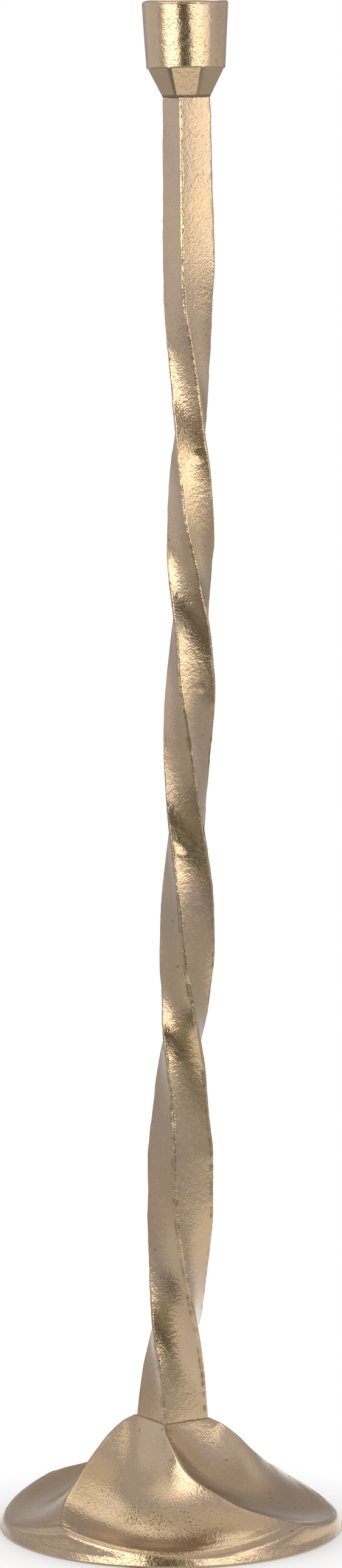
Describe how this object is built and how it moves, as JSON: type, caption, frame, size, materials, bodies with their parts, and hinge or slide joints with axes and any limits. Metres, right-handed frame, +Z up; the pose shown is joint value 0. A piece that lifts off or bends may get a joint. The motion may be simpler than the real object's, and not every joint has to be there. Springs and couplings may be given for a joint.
{
  "type": "spiral candle holder",
  "caption": "Tall cast candle holder with a twisted square stem, a tapered candle cup and a round foot with swirling ridges.",
  "frame": {"origin": "on the table under the middle of the round foot", "axes": "+Z up along the stem, -Y towards the viewer of the picture, +X to the right, the way the stem leans"},
  "size_m": [0.12, 0.12, 0.5297],
  "materials": {
    "gold_casting": "pale gold plated sand casting, satin with fine grain and pits",
    "zinc_steel": "zinc plated, dull bright",
    "felt": "pressed wool felt, matt"
  },
  "bodies": {
    "root": {"candle_cup": "gold_casting", "twisted_stem": "gold_casting", "swirl_foot": "gold_casting", "cup_screw": "zinc_steel", "foot_bolt": "zinc_steel", "spring_washer": "zinc_steel", "flat_washer": "zinc_steel", "felt_pads": "felt"}
  },
  "joints": []
}
